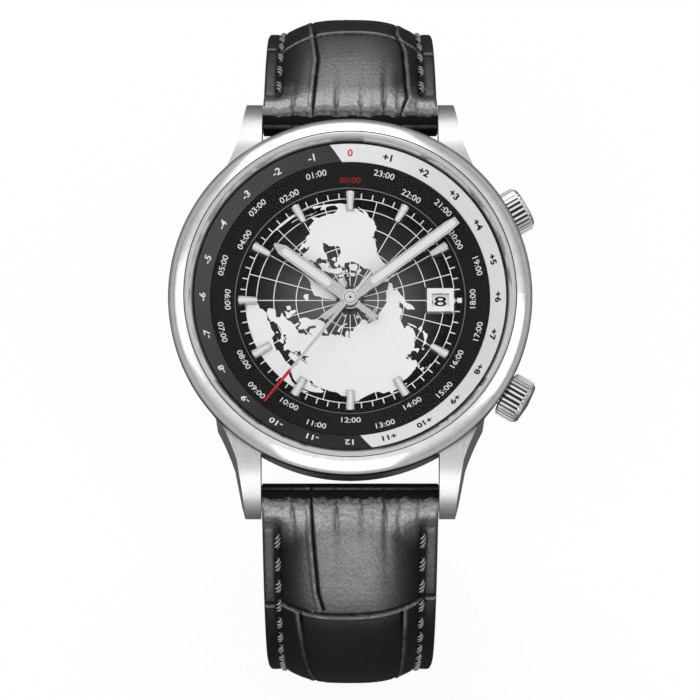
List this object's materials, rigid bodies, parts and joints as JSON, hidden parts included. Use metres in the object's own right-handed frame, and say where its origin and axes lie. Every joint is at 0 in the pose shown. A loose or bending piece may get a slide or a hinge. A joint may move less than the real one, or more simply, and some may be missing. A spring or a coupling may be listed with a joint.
{
  "type": "world time watch",
  "caption": "Round steel world time wristwatch with a turning 24-hour ring, two crowns, an automatic movement behind a glass back, and a padded leather strap with a buckle.",
  "frame": {"origin": "centre of the case back's outer face, on the glass", "axes": "+Z out of the dial, +Y to 12 o'clock, +X to 3 o'clock and the crowns"},
  "size_m": [0.0414, 0.0782, 0.1142],
  "materials": {
    "brushed_steel": "brushed",
    "polished_steel": "polished",
    "clear_crystal": "polished",
    "black_seal": "matt",
    "dial_black": "sunray",
    "ring_black": "satin",
    "movement_steel": "striped",
    "gilt_brass": "satin",
    "blued_screw": "polished",
    "date_white": "matt",
    "rotor_alloy": "brushed",
    "hand_steel": "polished",
    "black_leather": "crocodile grain",
    "lining_leather": "smooth"
  },
  "bodies": {
    "case": {"mid_case": "brushed_steel", "bezel": "polished_steel", "crystal": "clear_crystal", "crystal_gasket": "black_seal", "case_back": "brushed_steel", "back_glass": "clear_crystal", "back_gasket": "black_seal", "movement_ring": "movement_steel", "case_clamps": "brushed_steel", "clamp_screws": "blued_screw", "offset_ring": "ring_black", "dial": "dial_black", "hour_markers": "hand_steel", "date_frame": "hand_steel", "main_plate": "movement_steel", "barrel_bridge": "movement_steel", "train_bridge": "movement_steel", "balance_cock": "movement_steel", "bridge_screws": "blued_screw", "rotor_post": "movement_steel", "crown_tubes": "brushed_steel", "crown_gaskets": "black_seal", "spring_bars": "brushed_steel"},
    "world_ring": {"world_ring": "ring_black"},
    "ring_crown": {"ring_crown": "polished_steel", "ring_stem": "movement_steel", "ring_pinion": "movement_steel"},
    "winding_pinion": {"winding_pinion": "movement_steel"},
    "setting_crown": {"setting_crown": "polished_steel", "setting_stem": "movement_steel"},
    "date_ring": {"date_ring": "date_white"},
    "seconds": {"fourth_wheel": "gilt_brass", "seconds_hand": "hand_steel"},
    "minutes": {"centre_wheel": "gilt_brass", "cannon_pinion": "movement_steel", "minute_hand": "hand_steel"},
    "hours": {"hour_wheel": "gilt_brass", "hour_hand": "hand_steel"},
    "third_wheel": {"third_wheel": "gilt_brass"},
    "minute_wheel": {"minute_wheel": "gilt_brass"},
    "barrel": {"mainspring_barrel": "gilt_brass"},
    "escape_wheel": {"escape_wheel": "movement_steel"},
    "pallet_fork": {"pallet_fork": "movement_steel"},
    "balance": {"balance_wheel": "gilt_brass", "hairspring": "blued_screw"},
    "rotor": {"rotor": "rotor_alloy"},
    "short_strap": {"short_strap": "black_leather", "short_strap_lining": "lining_leather", "fixed_keeper": "black_leather", "buckle_bar": "brushed_steel"},
    "long_strap": {"long_strap": "black_leather", "long_strap_lining": "lining_leather"},
    "sliding_keeper": {"sliding_keeper": "black_leather"},
    "buckle": {"buckle_frame": "polished_steel"},
    "tang": {"buckle_tang": "polished_steel"}
  },
  "joints": [
    {"name": "world_ring_turn", "type": "hinge", "parent": "case", "child": "world_ring", "pos_m": [0, 0, 0.0078], "axis": [0, 0, 1], "continuous": true},
    {"name": "ring_crown_turn", "type": "hinge", "parent": "case", "child": "ring_crown", "pos_m": [0.01862, 0.01075, 0.0049], "axis": [0.866, 0.5, 0], "continuous": true},
    {"name": "winding_turn", "type": "hinge", "parent": "case", "child": "winding_pinion", "pos_m": [0.00831, -0.0048, 0.0049], "axis": [0.866, -0.5, 0], "continuous": true},
    {"name": "setting_crown_pull", "type": "slide", "parent": "winding_pinion", "child": "setting_crown", "axis": [0.866, -0.5, 0], "range_m": [0, 0.0014]},
    {"name": "date_turn", "type": "hinge", "parent": "case", "child": "date_ring", "pos_m": [0, 0, 0.0067], "axis": [0, 0, -1], "continuous": true},
    {"name": "seconds_turn", "type": "hinge", "parent": "case", "child": "seconds", "pos_m": [0, 0, 0.0041], "axis": [0, 0, -1], "continuous": true},
    {"name": "minute_turn", "type": "hinge", "parent": "case", "child": "minutes", "pos_m": [0, 0, 0.0047], "axis": [0, 0, -1], "continuous": true},
    {"name": "hour_turn", "type": "hinge", "parent": "case", "child": "hours", "pos_m": [0, 0, 0.0069], "axis": [0, 0, -1], "continuous": true},
    {"name": "third_wheel_turn", "type": "hinge", "parent": "case", "child": "third_wheel", "pos_m": [-0.00507, 0.00185, 0.0036], "axis": [0, 0, -1], "continuous": true},
    {"name": "minute_wheel_turn", "type": "hinge", "parent": "case", "child": "minute_wheel", "pos_m": [-0.00226, -0.00082, 0.0063], "axis": [0, 0, -1], "continuous": true},
    {"name": "barrel_turn", "type": "hinge", "parent": "case", "child": "barrel", "pos_m": [0.0033, 0.00572, 0.0052], "axis": [0, 0, -1], "continuous": true},
    {"name": "escape_wheel_turn", "type": "hinge", "parent": "case", "child": "escape_wheel", "pos_m": [0, -0.0054, 0.0043], "axis": [0, 0, -1], "continuous": true},
    {"name": "pallet_fork_swing", "type": "hinge", "parent": "case", "child": "pallet_fork", "pos_m": [0.0006, -0.008, 0.0043], "axis": [0, 0, 1], "range_deg": [-5, 5]},
    {"name": "balance_swing", "type": "hinge", "parent": "case", "child": "balance", "pos_m": [0.0031, -0.0083, 0.0038], "axis": [0, 0, 1], "range_deg": [-270, 270], "stiffness_Nm_per_rad": 0.0000004},
    {"name": "rotor_turn", "type": "hinge", "parent": "case", "child": "rotor", "pos_m": [0, 0, 0.0018], "axis": [0, 0, 1], "continuous": true},
    {"name": "short_strap_swing", "type": "hinge", "parent": "case", "child": "short_strap", "pos_m": [0, 0.0221, 0.0022], "axis": [1, 0, 0], "range_deg": [-4, 28]},
    {"name": "long_strap_swing", "type": "hinge", "parent": "case", "child": "long_strap", "pos_m": [0, -0.0221, 0.0022], "axis": [-1, 0, 0], "range_deg": [-3, 28]},
    {"name": "sliding_keeper_slide", "type": "hinge", "parent": "short_strap", "child": "sliding_keeper", "pos_m": [0, -0.01404, -0.01955], "axis": [1, 0, 0], "range_deg": [-5, 13]},
    {"name": "buckle_swing", "type": "hinge", "parent": "short_strap", "child": "buckle", "pos_m": [0, 0.01181, -0.06235], "axis": [1, 0, 0], "range_deg": [-20, 45]},
    {"name": "tang_swing", "type": "hinge", "parent": "buckle", "child": "tang", "pos_m": [0, 0.01181, -0.06235], "axis": [1, 0, 0], "range_deg": [0, 70]}
  ],
  "couplings": [
    {"joint": "ring_crown_turn", "follows": "world_ring_turn", "ratio": -9},
    {"joint": "minute_turn", "follows": "seconds_turn", "ratio": 0.016667},
    {"joint": "hour_turn", "follows": "seconds_turn", "ratio": 0.0013889},
    {"joint": "third_wheel_turn", "follows": "seconds_turn", "ratio": -0.13333},
    {"joint": "minute_wheel_turn", "follows": "seconds_turn", "ratio": -0.0055556},
    {"joint": "barrel_turn", "follows": "seconds_turn", "ratio": -0.0020833},
    {"joint": "escape_wheel_turn", "follows": "seconds_turn", "ratio": -10}
  ]
}
